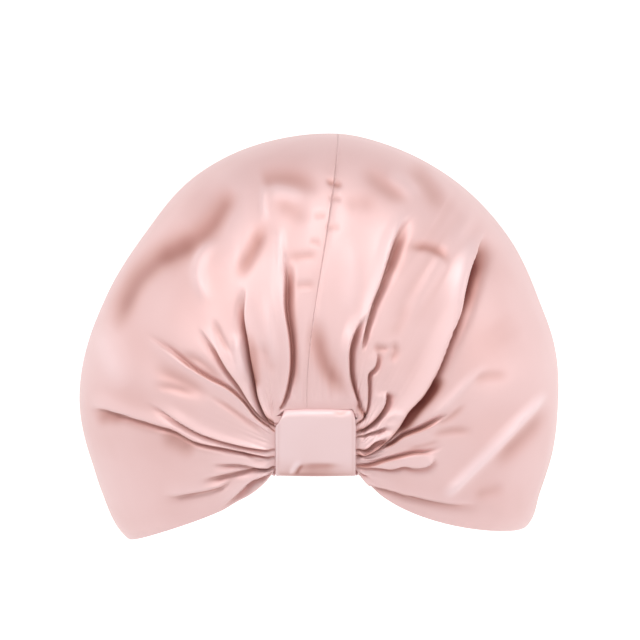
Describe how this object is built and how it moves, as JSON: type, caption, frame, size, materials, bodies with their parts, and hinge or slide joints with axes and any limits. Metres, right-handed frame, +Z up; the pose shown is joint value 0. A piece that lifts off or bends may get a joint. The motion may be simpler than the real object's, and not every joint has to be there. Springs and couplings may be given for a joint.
{
  "type": "sleep bonnet",
  "caption": "Satin sleep bonnet in the style of a turban: a full crown of panels gathered into a knot band at the forehead, open below for the head.",
  "frame": {"origin": "middle of the head opening from side to side and under the highest point of the sides, level with the lowest point of the hem", "axes": "+Z up through the crown, -Y to the front where the knot band is, +X to the wearer's left"},
  "size_m": [0.2295, 0.2216, 0.1931],
  "materials": {
    "crown_satin": "pale pink satin with a soft sheen, gathered into folds round the knot",
    "band_satin": "the same pale pink satin, drawn flat and tight"
  },
  "bodies": {
    "root": {"crown_left": "crown_satin", "crown_right": "crown_satin", "knot_band": "band_satin"}
  },
  "joints": []
}
